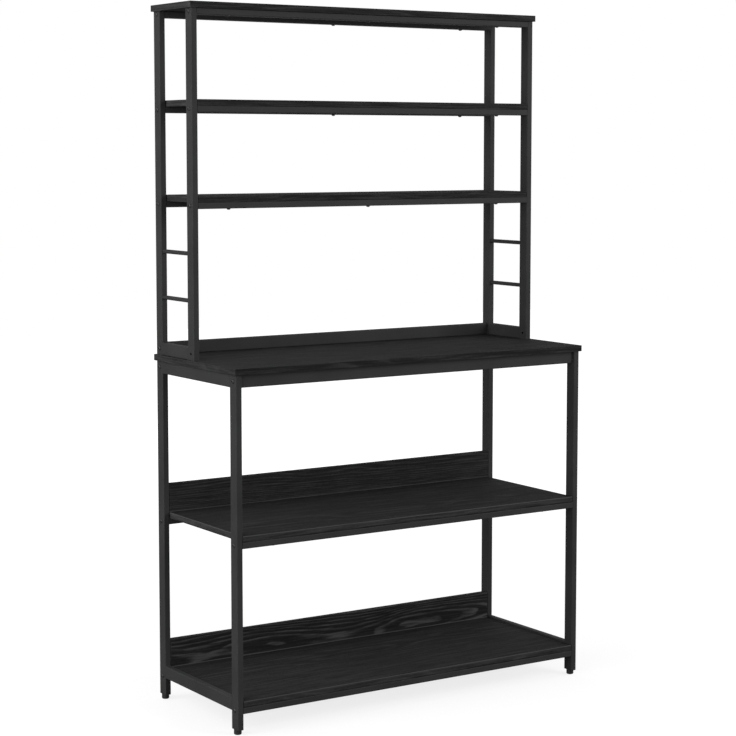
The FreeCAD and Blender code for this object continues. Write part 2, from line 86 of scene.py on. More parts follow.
def vector_calc(tree, operation, *values):
    node = add(tree, "ShaderNodeVectorMath", ("operation", operation))
    for value, target in zip(values, node.inputs):
        feed(tree, value, target)
    return node.outputs["Value" if operation == "LENGTH" else "Vector"]


print("Helpers for nodes are ready")

# %% [markdown]
# Two nodes do most of the work in a finish. Map Range turns one span of values into another, here with a
# smooth step, so that nothing has a hard border. A Color Ramp could do that too, but its stops can't be
# linked to the input of a group. Noise Texture makes what is uneven. Most of its values lie near the
# middle, so they are spread over 0 to 1.

# %% Smooth steps and noise
NOISE_LOW, NOISE_HIGH = 0.28, 0.72


def ramp(tree, value, start, end, low=0.0, high=1.0):
    """A smooth step from low, where the value is at start, to high, where it is at end."""
    node = add(tree, "ShaderNodeMapRange", ("interpolation_type", "SMOOTHSTEP"))
    for number, target in zip((value, start, end, low, high), node.inputs):
        feed(tree, number, target)
    return node.outputs["Result"]


def noise(tree, place, per_metre, detail=2.0):
    """Noise spread over 0 to 1, with this many features in a metre: one number, or one for each axis."""
    density = per_metre if isinstance(per_metre, tuple) else (per_metre,) * 3
    node = add(tree, "ShaderNodeTexNoise", Vector=vector_calc(tree, "MULTIPLY", place, density), Scale=1.0,
               Detail=detail)
    return ramp(tree, node.outputs["Fac"], NOISE_LOW, NOISE_HIGH)


print("Noise from", NOISE_LOW, "to", NOISE_HIGH, "is spread over 0 to 1")

# %% [markdown]
# A pattern that more than one material uses becomes a node group. Its nodes could be copied into every
# material, but then a change would have to be made in each copy. A group is built once, and its named
# sockets let each material give its own values. The trees of Geometry Nodes further down use the same
# helper.

# %% A helper for node groups
def new_group(name, inputs, outputs, kind="ShaderNodeTree"):
    """An empty tree. Inputs and outputs tell the kind of socket for each name."""
    group = bpy.data.node_groups.new(name, kind)
    for way, sockets in (("INPUT", inputs), ("OUTPUT", outputs)):
        for label, socket in sockets.items():
            group.interface.new_socket(label, in_out=way, socket_type=f"NodeSocket{socket}")
    return group, group.nodes.new("NodeGroupInput").outputs, group.nodes.new("NodeGroupOutput").inputs


print("Helper for groups is ready")

# %% [markdown]
# On a real shelf the edges are what hands and boxes rub against, so they are a little smoother than the
# flats. They are also painted a little lighter, partly as that wear and partly as a painted sheen where
# the rounded edges catch the light. Such marks could be painted by hand, or found with the Bevel node,
# which costs extra rays. The CAD edges are rounded, and on a rounding the surface points between two
# axes. A mask made from the object-space normal therefore finds the edges exactly and costs no rays.
# Noise makes the wear and the sheen patchy.

# %% The edge wear and painted sheen group
ROUND_FACING, FLAT_FACING = 0.72, 0.985
WEAR_AND_SHEEN_PATCHES_PER_METRE = 45
FAINTEST_WEAR_AND_SHEEN = 0.45


def axes_of(tree, vector):
    return add(tree, "ShaderNodeSeparateXYZ", Vector=vector).outputs


def edge_wear_and_sheen_group():
    group, given, made = new_group("Edge wear and sheen", {"Place": "Vector", "Normal": "Vector"}, {"Mask": "Float"})
    x, y, z = axes_of(group, vector_calc(group, "ABSOLUTE", given["Normal"]))
    facing = calc(group, "MAXIMUM", calc(group, "MAXIMUM", x, y), z)
    rounding = ramp(group, facing, ROUND_FACING, FLAT_FACING, 1.0, 0.0)
    patches = ramp(group, noise(group, given["Place"], WEAR_AND_SHEEN_PATCHES_PER_METRE), 0.0, 1.0, FAINTEST_WEAR_AND_SHEEN, 1.0)
    feed(group, calc(group, "MULTIPLY", rounding, patches), made["Mask"])
    return group


edge_wear_and_sheen = edge_wear_and_sheen_group()
print("Node group:", edge_wear_and_sheen.name)

# %% [markdown]
# A finish is a sum of patterns, each with its own share, and a blend from a dark to a light colour. The
# sum could be wired from Multiply and Add nodes in turn, but Multiply Add does both at once. A Mix node
# has sockets for several kinds of data under the same names, so the wanted ones are picked by their
# identifiers.

# %% Sums and blends
def total(tree, *shares):
    """The sum of values, each times its own share."""
    result = 0.0
    for value, share in shares:
        result = calc(tree, "MULTIPLY_ADD", value, share, result)
    return result


def mix(tree, data_type, share, first, second):
    """A blend of two colours or two vectors, whose sockets on a Mix node are told apart by identifier."""
    node = add(tree, "ShaderNodeMix", ("data_type", data_type))
    kind = {"RGBA": "Color", "VECTOR": "Vector"}[data_type]
    sockets = {socket.identifier: socket for socket in (*node.inputs, *node.outputs)}
    feed(tree, share, node.inputs["Factor"])
    feed(tree, first, sockets[f"A_{kind}"])
    feed(tree, second, sockets[f"B_{kind}"])
    return sockets[f"Result_{kind}"]


print("Helpers for sums and blends are ready")

# %% [markdown]
# The frame is powder coated: a black powder is blown onto the tubes and baked until it flows. It leaves a
# fine orange peel with grains of about a millimetre, and a sheen that changes a little from place to
# place. A picture of such a coat could be wrapped round the tubes, but it would repeat, and every tube
# would have to be unwrapped. Noise in object coordinates keeps its real size on every tube, whatever its
# length.

# %% The powder coat group
POWDER_DARK, POWDER_LIGHT = (0.0232, 0.0233, 0.0239, 1.0), (0.040, 0.0402, 0.041, 1.0)
CLOUDS_PER_METRE, PEEL_PER_METRE, GRIT_PER_METRE = 9, 700, 2600
CLOUD_TONE_SHARE, GRIT_TONE_SHARE, WEAR_AND_SHEEN_TONE_SHARE = 0.35, 0.2, 0.6
PEEL_SMOOTH, PEEL_ROUGH = 0.46, 0.56
CLOUD_DULLS, RUB_POLISHES = 0.05, 0.08
PEEL_HEIGHT_SHARE, GRIT_HEIGHT_SHARE = 0.8, 0.2


def powder_group():
    group, given, made = new_group("Powder coat", {"Place": "Vector", "Rub": "Float"},
                                   {"Color": "Color", "Roughness": "Float", "Height": "Float"})
    cloud = noise(group, given["Place"], CLOUDS_PER_METRE)
    peel = noise(group, given["Place"], PEEL_PER_METRE, detail=1.0)
    grit = noise(group, given["Place"], GRIT_PER_METRE, detail=0.0)
    # Worn edges make the coat lighter, partly as wear and partly as a painted sheen on the rounded edges.
    tone = total(group, (cloud, CLOUD_TONE_SHARE), (grit, GRIT_TONE_SHARE), (given["Rub"], WEAR_AND_SHEEN_TONE_SHARE))
    feed(group, mix(group, "RGBA", tone, POWDER_DARK, POWDER_LIGHT), made["Color"])
    dull = ramp(group, peel, 0.0, 1.0, PEEL_SMOOTH, PEEL_ROUGH)
    dull = total(group, (dull, 1.0), (cloud, CLOUD_DULLS), (given["Rub"], -RUB_POLISHES))
    feed(group, dull, made["Roughness"])
    feed(group, total(group, (peel, PEEL_HEIGHT_SHARE), (grit, GRIT_HEIGHT_SHARE)), made["Height"])
    return group


powder = powder_group()
print("Node group:", powder.name)

# %% [markdown]
# A material joins a group to the Principled shader. The patterns read object coordinates, which are
# metres in the CAD frame. Values that are the same all over, such as the specular level, could come out
# of the group too, but they are set on the shader itself, because a group's sockets are for what changes
# over the surface.

# %% Helpers for materials
def new_material(name, specular, relief_mm, metallic=0.0):
    material = bpy.data.materials.new(name)
    material.use_nodes = True
    tree = material.node_tree
    shader = tree.nodes["Principled BSDF"]
    shader.inputs["Specular IOR Level"].default_value = specular
    shader.inputs["Metallic"].default_value = metallic
    bump = add(tree, "ShaderNodeBump", Distance=relief_mm * MM)
    feed(tree, bump.outputs["Normal"], shader.inputs["Normal"])
    return material, tree, add(tree, "ShaderNodeTexCoord").outputs


def use_group(tree, group, **inputs):
    return add(tree, "ShaderNodeGroup", ("node_tree", group), **inputs).outputs


def finish_with(tree, outputs):
    shader = tree.nodes["Principled BSDF"]
    feed(tree, outputs["Color"], shader.inputs["Base Color"])
    feed(tree, outputs["Roughness"], shader.inputs["Roughness"])
    feed(tree, outputs["Height"], tree.nodes["Bump"].inputs["Height"])


print("Helpers for materials are ready")

# %% [markdown]
# The tubes get the powder coat with worn edges that also carry a painted sheen. The round hook bars and
# the weld beads have the same coat, but they are round all over, so the edge mask would take them for one
# long edge. One material with a switch could serve both. Two materials from one function are simpler,
# because each piece then just has its own.

# %% Coat the frame
POWDER_SPECULAR = 0.07
POWDER_RELIEF_MM = 0.05


def powder_material(name, edges_worn_and_sheened):
    material, tree, spot = new_material(name, POWDER_SPECULAR, POWDER_RELIEF_MM)
    edge_wear_sheen = 0.0
    if edges_worn_and_sheened:
        edge_wear_sheen = use_group(tree, edge_wear_and_sheen, Place=spot["Object"], Normal=spot["Normal"])["Mask"]
    finish_with(tree, use_group(tree, powder, Place=spot["Object"], Rub=edge_wear_sheen))
    return material


tube_coat = powder_material("powder_coated_tube", edges_worn_and_sheened=True)
bar_coat = powder_material("powder_coated_bar", edges_worn_and_sheened=False)
print("Frame materials:", tube_coat.name, bar_coat.name)

# %% [markdown]
# The boards are chipboard with a black oak print. An oak board is a slice out of a log, so the grain is
# made as growth rings about a pith line that runs along the board: near rings give broad cathedral
# arches, far rings give straight lines. The Wave texture makes rings too, but with a fixed profile, and
# here the dark and the pale part of a year need widths of their own. So the rings are worked out from the
# distance to the pith, and a slow wander bends them.

# %% Growth rings
WANDER_PER_METRE, RIPPLE_PER_METRE, BREAKS_PER_METRE = (3.4, 11, 11), (14, 90, 90), (13, 130, 130)
NOISE_MIDDLE = 0.5
RIPPLE_SHARE = 0.08
RING_RISES, RING_STOPS = (0.4, 0.8), (0.86, 1.0)
FAINTEST_RING = 0.3


def growth_rings(group, place, spacing, wander):
    slow = calc(group, "SUBTRACT", noise(group, place, WANDER_PER_METRE, detail=0.0), NOISE_MIDDLE)
    ripple = calc(group, "SUBTRACT", noise(group, place, RIPPLE_PER_METRE, detail=1.0), NOISE_MIDDLE)
    bend = total(group, (slow, 1.0), (ripple, RIPPLE_SHARE))
    from_pith = vector_calc(group, "LENGTH", vector_calc(group, "MULTIPLY", place, (0, 1, 1)))
    bent = total(group, (from_pith, 1.0), (bend, wander))
    year = calc(group, "FRACT", calc(group, "DIVIDE", bent, spacing))
    ring = calc(group, "MULTIPLY", ramp(group, year, *RING_RISES), ramp(group, year, *RING_STOPS, 1.0, 0.0))
    broken = ramp(group, noise(group, place, BREAKS_PER_METRE), 0.0, 1.0, FAINTEST_RING, 1.0)
    return calc(group, "MULTIPLY", ring, broken)


print("Growth rings rise at", RING_RISES, "and stop at", RING_STOPS, "of a year")

# %% [markdown]
# The ends of a board wear a glued band whose grain runs along the end, so there the two flat axes change
# places. Those bands could have a material of their own, but then the mesh of the CAD node would have to
# be split. A mask from the normal leaves it whole.

# %% Turn the grain on the end bands
END_FACING = 0.7


def along_the_grain(group, place, end_band):
    x, y, z = axes_of(group, place)
    turned = add(group, "ShaderNodeCombineXYZ", X=y, Y=x, Z=z)
    return mix(group, "VECTOR", end_band, place, turned.outputs[0])


print("Faces that point sideways by more than", END_FACING, "are end bands")

# %% [markdown]
# Fibres, hairlines and dark pores lie over the rings, all stretched along the board. One noise with much
# detail could stand for all of them, but in oak each has its own length and width, so each is a noise of
# its own. With the rings they add up to one tone, which gives the colour, the roughness and the relief.

# %% The black oak group
OAK_DARK, OAK_LIGHT = (0.0108, 0.0108, 0.0112, 1.0), (0.056, 0.0562, 0.0575, 1.0)
FIBRES_PER_METRE, HAIRS_PER_METRE, PORES_PER_METRE = (9, 260, 260), (34, 1300, 1300), (110, 2100, 2100)
PORE_STARTS, PORE_FULL = 0.72, 0.9
FIBRE_SHARE, HAIR_SHARE, PORE_SHARE = 0.32, 0.12, 0.2
WEAR_AND_SHEEN_LIFT, END_BAND_LIFT = 0.45, 0.24
OAK_ROUGH, OAK_SMOOTH = 0.74, 0.6


def oak_group():
    group, given, made = new_group(
        "Black oak grain",
        {"Place": "Vector", "Normal": "Vector", "Rub": "Float", "Trim": "Float", "Ring Spacing": "Float",
         "Wander": "Float", "Ring Contrast": "Float", "Ground": "Float"},
        {"Color": "Color", "Roughness": "Float", "Height": "Float"})
    sideways = axes_of(group, vector_calc(group, "ABSOLUTE", given["Normal"]))["X"]
    end_band = calc(group, "GREATER_THAN", sideways, END_FACING)
    place = along_the_grain(group, given["Place"], end_band)
    ring = growth_rings(group, place, given["Ring Spacing"], given["Wander"])
    fibre = noise(group, place, FIBRES_PER_METRE, detail=3.0)
    hair = noise(group, place, HAIRS_PER_METRE, detail=1.0)
    pore = ramp(group, noise(group, place, PORES_PER_METRE, detail=0.0), PORE_STARTS, PORE_FULL)
    tone = total(group, (given["Ground"], 1.0), (ring, given["Ring Contrast"]), (fibre, FIBRE_SHARE),
                 (hair, HAIR_SHARE), (pore, -PORE_SHARE))
    # Worn edges lift the tone, partly as wear and partly as painted sheen. The highlight input lifts it too,
    # as a painted highlight line and as painted light on some bands.
    wear_sheen_and_highlight = calc(group, "MAXIMUM", calc(group, "MULTIPLY", given["Rub"], WEAR_AND_SHEEN_LIFT), given["Trim"])
    lift = calc(group, "MAXIMUM", wear_sheen_and_highlight, calc(group, "MULTIPLY", end_band, END_BAND_LIFT))
    feed(group, mix(group, "RGBA", calc(group, "ADD", tone, lift), OAK_DARK, OAK_LIGHT), made["Color"])
    feed(group, ramp(group, tone, 0.0, 1.0, OAK_ROUGH, OAK_SMOOTH), made["Roughness"])
    feed(group, tone, made["Height"])
    return group


oak = oak_group()
print("Node group:", oak.name)

# %% [markdown]
# The upright edges of a board wear bands too. On a band a thin pale line is painted near an edge as a
# painted highlight, and a dark line along the bottom as painted shade in the joint with the rail under the
# board. Thin strips of geometry could show them, but these are changes of tone with no depth to see. Masks
# put them there: the normal tells which faces are bands, and the height tells how far a point lies from
# the edge.

# %% Masks for the edge bands
BAND_FACING, TOP_FACING = 0.6, 0.9
HIGHLIGHT_STARTS, HIGHLIGHT_FULL, HIGHLIGHT_FADES = -2.8 * MM, -1.6 * MM, 0.8 * MM
JOINT_SHADE_FULL, JOINT_SHADE_FADES = 1.0 * MM, 4.0 * MM
JOINT_SHADE_PATCHES_PER_METRE = 16
FAINTEST_JOINT_SHADE = 0.25


def edge_band(tree, normal):
    upward = calc(tree, "ABSOLUTE", axes_of(tree, normal)["Z"])
    return ramp(tree, upward, BAND_FACING, TOP_FACING, 1.0, 0.0)


def painted_highlight_line(tree, place, on_band, edge, strength, painted_band_light):
    """A painted highlight: a pale line just below an edge, over a band that the last value paints a little
    lighter, as painted light.
    """
    height = axes_of(tree, place)["Z"]
    rise = ramp(tree, height, edge + HIGHLIGHT_STARTS, edge + HIGHLIGHT_FULL, 0.0, strength)
    line = calc(tree, "MULTIPLY", rise, ramp(tree, height, edge, edge + HIGHLIGHT_FADES, 1.0, 0.0))
    return calc(tree, "MULTIPLY", on_band, calc(tree, "MAXIMUM", line, painted_band_light))


def painted_joint_shade(tree, place, on_band, bottom):
    """Painted shade in the joint along the bottom of a band, deeper in some places than in others."""
    near = ramp(tree, axes_of(tree, place)["Z"], bottom + JOINT_SHADE_FULL, bottom + JOINT_SHADE_FADES, 1.0, 0.0)
    uneven = ramp(tree, noise(tree, place, JOINT_SHADE_PATCHES_PER_METRE), 0.0, 1.0, FAINTEST_JOINT_SHADE, 1.0)
    return calc(tree, "MULTIPLY", on_band, calc(tree, "MULTIPLY", near, uneven))


print("A painted highlight line is", round((HIGHLIGHT_FADES - HIGHLIGHT_STARTS) / MM, 1), "mm wide at most")

# %% [markdown]
# One function makes the oak material of any board. One material could serve all boards, but then
# neighbouring boards would look sawn from one piece. A Mapping node of the texture kind puts the pith
# line where the board needs it and turns it a little, so that every board is its own cut out of the log.

# %% The oak material
OAK_SPECULAR = 0.03
OAK_RELIEF_MM = 0.06
JOINT_SHADE_DARKNESS = 0.36


def oak_material(name, pith, turn, spacing, wander, contrast, ground=0.0, painted_band_shade=0.0, highlight=None, joint=None):
    """Spacing and wander are in mm. The band's painted shade and the painted shade of the joint change the
    ground tone, and the painted highlight line lifts it.
    """
    material, tree, spot = new_material(name, OAK_SPECULAR, OAK_RELIEF_MM)
    mapping = add(tree, "ShaderNodeMapping", ("vector_type", "TEXTURE"), Vector=spot["Object"],
                  Location=pith, Rotation=[math.radians(angle) for angle in turn])
    on_band = edge_band(tree, spot["Normal"])
    # The band value paints shade on the bands, darker on some boards than on others.
    tone = calc(tree, "MULTIPLY_ADD", on_band, painted_band_shade, ground)
    line = painted_highlight_line(tree, spot["Object"], on_band, *highlight) if highlight else 0.0
    # Painted shade darkens the bottom of the band where it meets the rail, and the highlight line stays out
    # of it.
    if joint is not None:
        dark = painted_joint_shade(tree, spot["Object"], on_band, joint)
        tone = calc(tree, "MULTIPLY_ADD", dark, -JOINT_SHADE_DARKNESS, tone)
        line = calc(tree, "MULTIPLY", line, calc(tree, "SUBTRACT", 1.0, dark))
    edge_wear_sheen = use_group(tree, edge_wear_and_sheen, Place=spot["Object"], Normal=spot["Normal"])["Mask"]
    finish_with(tree, use_group(
        tree, oak, Place=mapping.outputs["Vector"], Normal=spot["Normal"], Rub=edge_wear_sheen, Trim=line,
        Ring_Spacing=spacing * MM, Wander=wander * MM, Ring_Contrast=contrast, Ground=tone))
    return material


print("Oak material is ready, with a relief of", OAK_RELIEF_MM, "mm")

# %% [markdown]
# Each board is cut from its own place in the log, so each has its own pith line and ring spacing. They
# could be drawn at random, but the boards in view have a character of their own, so they are chosen one
# by one: the base back board shows the boldest arches with long eyes, the middle one fine straight grain,
# and the flat shelves a quiet grain. The counter and the hutch boards get painted shade on their bands,
# which makes the bands darker than the board.

# %% Choose a cut for each board
BOARDS = {
    # the pith is given in mm from the middle of the board, the turn in degrees, and the band value is
    # painted shade on the edge bands
    "base_shelf_board": dict(pith=(0, 60, -90), turn=(0, 0, 0.8), spacing=5.5, wander=11, contrast=0.26),
    "base_back_board": dict(pith=(645, 46, -24), turn=(0, 0.4, 0), spacing=4.8, wander=14, contrast=1.0,
                            ground=-0.15),
    "middle_shelf_board": dict(pith=(0, -90, -110), turn=(0, 0, -0.6), spacing=5.0, wander=9, contrast=0.24),
    "middle_back_board": dict(pith=(0, 70, 60), turn=(0, 0.7, 0), spacing=3.4, wander=6, contrast=0.42,
                              ground=-0.09),
    "counter_board": dict(pith=(0, 130, -80), turn=(0, 0, 0.5), spacing=5.5, wander=11, contrast=0.24,
                          painted_band_shade=-0.12),
    "lower_hutch_shelf_board": dict(pith=(0, 70, -80), turn=(0, 0, -0.5), spacing=5.0, wander=9,
                                    contrast=0.24, painted_band_shade=-0.07),
    "upper_hutch_shelf_board": dict(pith=(0, -60, -90), turn=(0, 0, 0.7), spacing=5.2, wander=10,
                                    contrast=0.24, painted_band_shade=-0.06),
    "top_board": dict(pith=(0, 80, -70), turn=(0, 0, 0.4), spacing=5.0, wander=9, contrast=0.24, painted_band_shade=-0.05),
}
print("Boards with a cut of their own:", len(BOARDS))

# %% [markdown]
# The two lower shelves have the painted highlight line along the top of their bands, painted light over
# the whole band and painted shade in the joint below, and the back boards a painted highlight line along
# their lower edge. The heights of these marks could be typed, but they are read from the boards' own
# boxes, so they follow a board that is moved or made thicker.

# %% Give each board its own grain
# Strengths of the painted highlight lines, and the painted light on the bands of the two lower shelves.
PALE_LINE, FAINT_LINE = 1.0, 0.5
PAINTED_BAND_LIGHT = 0.13
BACK_LINE_HEIGHT = 2.6 * MM


def band_marks(board, low, high):
    """Where the painted highlight line and the painted joint shade of a board lie, how strong the line is
    and how much painted light the band gets.
    """
    if board in ("base_shelf_board", "middle_shelf_board"):
        return dict(highlight=(high.z, PALE_LINE, PAINTED_BAND_LIGHT), joint=low.z)
    if board.endswith("back_board"):
        strength = PALE_LINE if board.startswith("base") else FAINT_LINE
        return dict(highlight=(low.z + BACK_LINE_HEIGHT, strength, 0.0))
    return {}


for board, cut in BOARDS.items():
    low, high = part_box(board)
    pith = (low + high) / 2 + Vector(cut["pith"]) * MM
    material = oak_material(f"oak_{board}", **{**cut, "pith": pith}, **band_marks(board, low, high))
    nodes[board].material_slots[0].material = material
print("Boards with their own grain:", len(BOARDS))

# %% [markdown]
# The small parts have simple finishes: blackened, plated or moulded. Each could have a plain colour, but
# a plain colour looks like a drawing up close. One group gives all of them a mottle of fine grain over
# broad clouds, and each material sets its own colours, size of grain and roughness.

# %% The mottle group
CLOUDS_PER_GRAIN = 0.09
FINE_SHARE, BROAD_SHARE = 0.5, 0.5


def mottle_group():
    group, given, made = new_group(
        "Small part mottle",
        {"Place": "Vector", "Grain Per Metre": "Float", "Dark": "Color", "Light": "Color", "Smooth": "Float",
         "Rough": "Float"},
        {"Color": "Color", "Roughness": "Float", "Height": "Float"})
    grains = add(group, "ShaderNodeVectorMath", ("operation", "SCALE"), Vector=given["Place"],
                 Scale=given["Grain Per Metre"])
    fine = noise(group, grains.outputs[0], 1.0)
    broad = noise(group, grains.outputs[0], CLOUDS_PER_GRAIN)
    tone = total(group, (fine, FINE_SHARE), (broad, BROAD_SHARE))
    feed(group, mix(group, "RGBA", tone, given["Dark"], given["Light"]), made["Color"])
    feed(group, ramp(group, tone, 0.0, 1.0, given["Smooth"], given["Rough"]), made["Roughness"])
    feed(group, fine, made["Height"])
    return group


mottle = mottle_group()
print("Node group:", mottle.name)

# %% [markdown]
# The bolts and screws are blackened steel, the hidden threaded blocks and the foot studs are zinc plated,
# and the foot pads and leg plugs are moulded in black plastic. The materials could be set piece by piece,
# but the CAD model already names a finish for every node, so each named finish is swapped for its
# material.

# %% Finish the small parts
GRAIN_RELIEF_SHARE = 0.04


def small_part_material(name, grain_mm, dark, light, smooth, rough, specular=0.5, metallic=0.0):
    material, tree, spot = new_material(name, specular, grain_mm * GRAIN_RELIEF_SHARE, metallic)
    finish_with(tree, use_group(
        tree, mottle, Place=spot["Object"], Grain_Per_Metre=1 / (grain_mm * MM),
        Dark=(*dark, 1.0), Light=(*light, 1.0), Smooth=smooth, Rough=rough))
    return material


blackened = small_part_material("blackened_steel", grain_mm=0.8, dark=(0.006,) * 3, light=(0.016,) * 3,
                                smooth=0.3, rough=0.45, specular=0.4)
zinc = small_part_material("zinc_plate", grain_mm=1.2, dark=(0.42, 0.43, 0.44), light=(0.62, 0.63, 0.62),
                           smooth=0.22, rough=0.4, metallic=1.0)
moulded = small_part_material("moulded_plastic", grain_mm=0.7, dark=(0.008,) * 3, light=(0.015,) * 3,
                              smooth=0.42, rough=0.56, specular=0.35)
SLOT_MATERIALS = {"powder_coated_steel": tube_coat, "black_fasteners": blackened,
                  "zinc_plated_steel": zinc, "black_plastic": moulded}
for name, node in nodes.items():
    for slot in node.material_slots:
        if slot.material and slot.material.name in SLOT_MATERIALS:
            slot.material = bar_coat if name.endswith("hook_bar") else SLOT_MATERIALS[slot.material.name]
print("Materials in use:", sorted({s.material.name for n in nodes.values() for s in n.material_slots}))

# %% [markdown]
# Weld beads, threads and fasteners repeat or follow a path, so Geometry Nodes make them. Every tree below
# ends alike: Realize Instances makes real geometry, because the export drops instances, Set Shade Smooth
# rounds the shading, and Set Material gives the finish. The last two could be set on the object
# afterwards, but in the tree they are part of the recipe.

# %% The end of every tree
def end_tree(tree, shape, finish, result):
    real = add(tree, "GeometryNodeRealizeInstances", Geometry=shape)
    smooth = add(tree, "GeometryNodeSetShadeSmooth", Geometry=real.outputs["Geometry"])
    paint = add(tree, "GeometryNodeSetMaterial", Geometry=smooth.outputs["Geometry"], Material=finish)
    feed(tree, paint.outputs["Geometry"], result)


print("Trees end in real, smooth and painted geometry")

# %% [markdown]
# A modifier runs a tree on an object. It could stay live, but the export drops live trees. So the helper
# evaluates the modifier once, keeps the result as a plain mesh, and takes the modifier away again. Then
# it says which body of the CAD model the piece rides on.

# %% Run a tree and keep its mesh
def grow(name, mesh, tree, body, slot, **values):
    """Run the tree on the mesh with these values. A modifier's inputs are set by identifier, not by name."""
    piece = bpy.data.objects.new(name, mesh)
    bpy.context.scene.collection.objects.link(piece)
    modifier = piece.modifiers.new("Grow", "NODES")
    modifier.node_group = tree
    for item in tree.interface.items_tree:
        key = item.name.replace(" ", "_")
        if item.in_out == "INPUT" and key in values:
            modifier[item.identifier] = values[key]
    depsgraph = bpy.context.evaluated_depsgraph_get()
    made = bpy.data.meshes.new_from_object(piece.evaluated_get(depsgraph), depsgraph=depsgraph)
    piece.modifiers.clear()
    piece.data = made
    made.name = name
    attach(piece, body)
    print(name, "has", len(made.polygons), "faces")
    return piece


print("Tree runner is ready")

# %% [markdown]
# The end frames are welded. Where a rail meets a post, a bead of metal follows the seam, with ripples
# from the welder's small steps. The ripples could be a bump map, but they show in outline too, so they
# are in the bead's size: a wave along its length makes the ripples, and at its ends the bead shrinks to a
# dome.

# %% The size of a bead
DOME_RISE = 1.02


def bead_size(tree, given):
    """The bead's radius along the seam. DOME_RISE is just over 1, so no ring shrinks to a point."""
    run = add(tree, "GeometryNodeSplineParameter").outputs["Length"]
    whole = add(tree, "GeometryNodeSplineLength").outputs["Length"]
    turns = calc(tree, "MULTIPLY", calc(tree, "DIVIDE", run, given["Ripple Pitch"]), math.tau)
    half_depth = calc(tree, "MULTIPLY", given["Ripple Depth"], 0.5)
    ripple = calc(tree, "MULTIPLY_ADD", calc(tree, "COSINE", turns), half_depth, 1.0)
    to_end = calc(tree, "MINIMUM", run, calc(tree, "SUBTRACT", whole, run))
    inward = calc(tree, "MINIMUM", calc(tree, "DIVIDE", to_end, given["Bead Radius"]), 1.0)
    outward = calc(tree, "SUBTRACT", 1.0, inward)
    dome = calc(tree, "SQRT", calc(tree, "SUBTRACT", DOME_RISE, calc(tree, "MULTIPLY", outward, outward)))
    dome = calc(tree, "MULTIPLY_ADD", calc(tree, "SUBTRACT", dome, 1.0), given["Round Ends"], 1.0)
    return calc(tree, "MULTIPLY", calc(tree, "MULTIPLY", ripple, dome), given["Bead Radius"])


print("A bead ends at", round(math.sqrt(DOME_RISE - 1), 2), "of its radius")

# %% [markdown]
# The tree turns the seams, which are bare edges, into curves, resamples them finely enough for the
# ripples, and sweeps a circle along them. A curve object with a bevel could do the sweep too, but its
# radius would have to be set point by point. Here the size comes from the rule above.

# %% The weld bead tree
BEAD_SIDES = 10
BEAD_STEP = 0.4 * MM


def weld_bead_tree():
    tree, given, made = new_group(
        "Weld bead along seams",
        {"Seams": "Geometry", "Bead Radius": "Float", "Ripple Pitch": "Float", "Ripple Depth": "Float",
         "Round Ends": "Float", "Finish": "Material"},
        {"Beads": "Geometry"}, "GeometryNodeTree")
    line = add(tree, "GeometryNodeMeshToCurve", Mesh=given["Seams"])
    fine = add(tree, "GeometryNodeResampleCurve", ("mode", "LENGTH"), Curve=line.outputs["Curve"],
               Length=BEAD_STEP)
    circle = add(tree, "GeometryNodeCurvePrimitiveCircle", Resolution=BEAD_SIDES, Radius=1.0)
    sweep = add(tree, "GeometryNodeCurveToMesh", Curve=fine.outputs["Curve"],
                Profile_Curve=circle.outputs["Curve"], Scale=bead_size(tree, given), Fill_Caps=True)
    end_tree(tree, sweep.outputs["Mesh"], given["Finish"], made["Beads"])
    return tree


weld_bead = weld_bead_tree()
print("Geometry tree:", weld_bead.name)

# %% [markdown]
# The seams could be drawn by hand, but they are found from the CAD boxes, so they follow a changed size:
# every welded rail runs from front to rear between two posts, and its ends are the welded joints. Above
# or below the rail a small fillet stays in the corner. Beside it the rounded corners of the tubes leave a
# narrow groove, which the welder fills and grinds flush.

# %% Seams at the ends of a rail
CORNER = 2.0 * MM
FILLET_LIFT = 0.35 * MM
GROOVE_IN_SHARE, GROOVE_END_SHARE = 0.6, 0.3


def ends_of(low, high):
    """The front and the rear end of a rail, each with its direction into the rail."""
    return (low.y, 1), (high.y, -1)


def fillet_seams(low, high, levels):
    return [[Vector((x, y + FILLET_LIFT * inward, level)) for x in (low.x + CORNER, high.x - CORNER)]
            for y, inward in ends_of(low, high) for level in levels]


def groove_seams(low, high):
    inset, sink = GROOVE_IN_SHARE * CORNER, GROOVE_END_SHARE * CORNER
    return [[Vector((x, y - sink * inward, z)) for z in (low.z + sink, high.z - sink)]
            for y, inward in ends_of(low, high) for x in (low.x + inset, high.x - inset)]


print("Corners of the tubes have a radius of", CORNER / MM, "mm")

# %% [markdown]
# The hook bars are round, so their seams are rings, a little larger than the bar. A Curve Circle node
# could make them, but plain points let all seams go through the same tree. Then the seams of both sides
# are gathered, with the fillets that each rail has.

# %% Gather all the seams
RING_LIFT = 0.2 * MM
RING_STEPS = 48


def ring_seams(low, high):
    middle, radius = (low + high) / 2, (high.z - low.z) / 2 + RING_LIFT
    seams = []
    for y, inward in ends_of(low, high):
        turns = [math.tau * step / RING_STEPS for step in range(RING_STEPS)]
        ring = [Vector((middle.x + radius * math.cos(turn), y + RING_LIFT * inward,
                        middle.z + radius * math.sin(turn))) for turn in turns]
        seams.append(ring + ring[:1])
    return seams


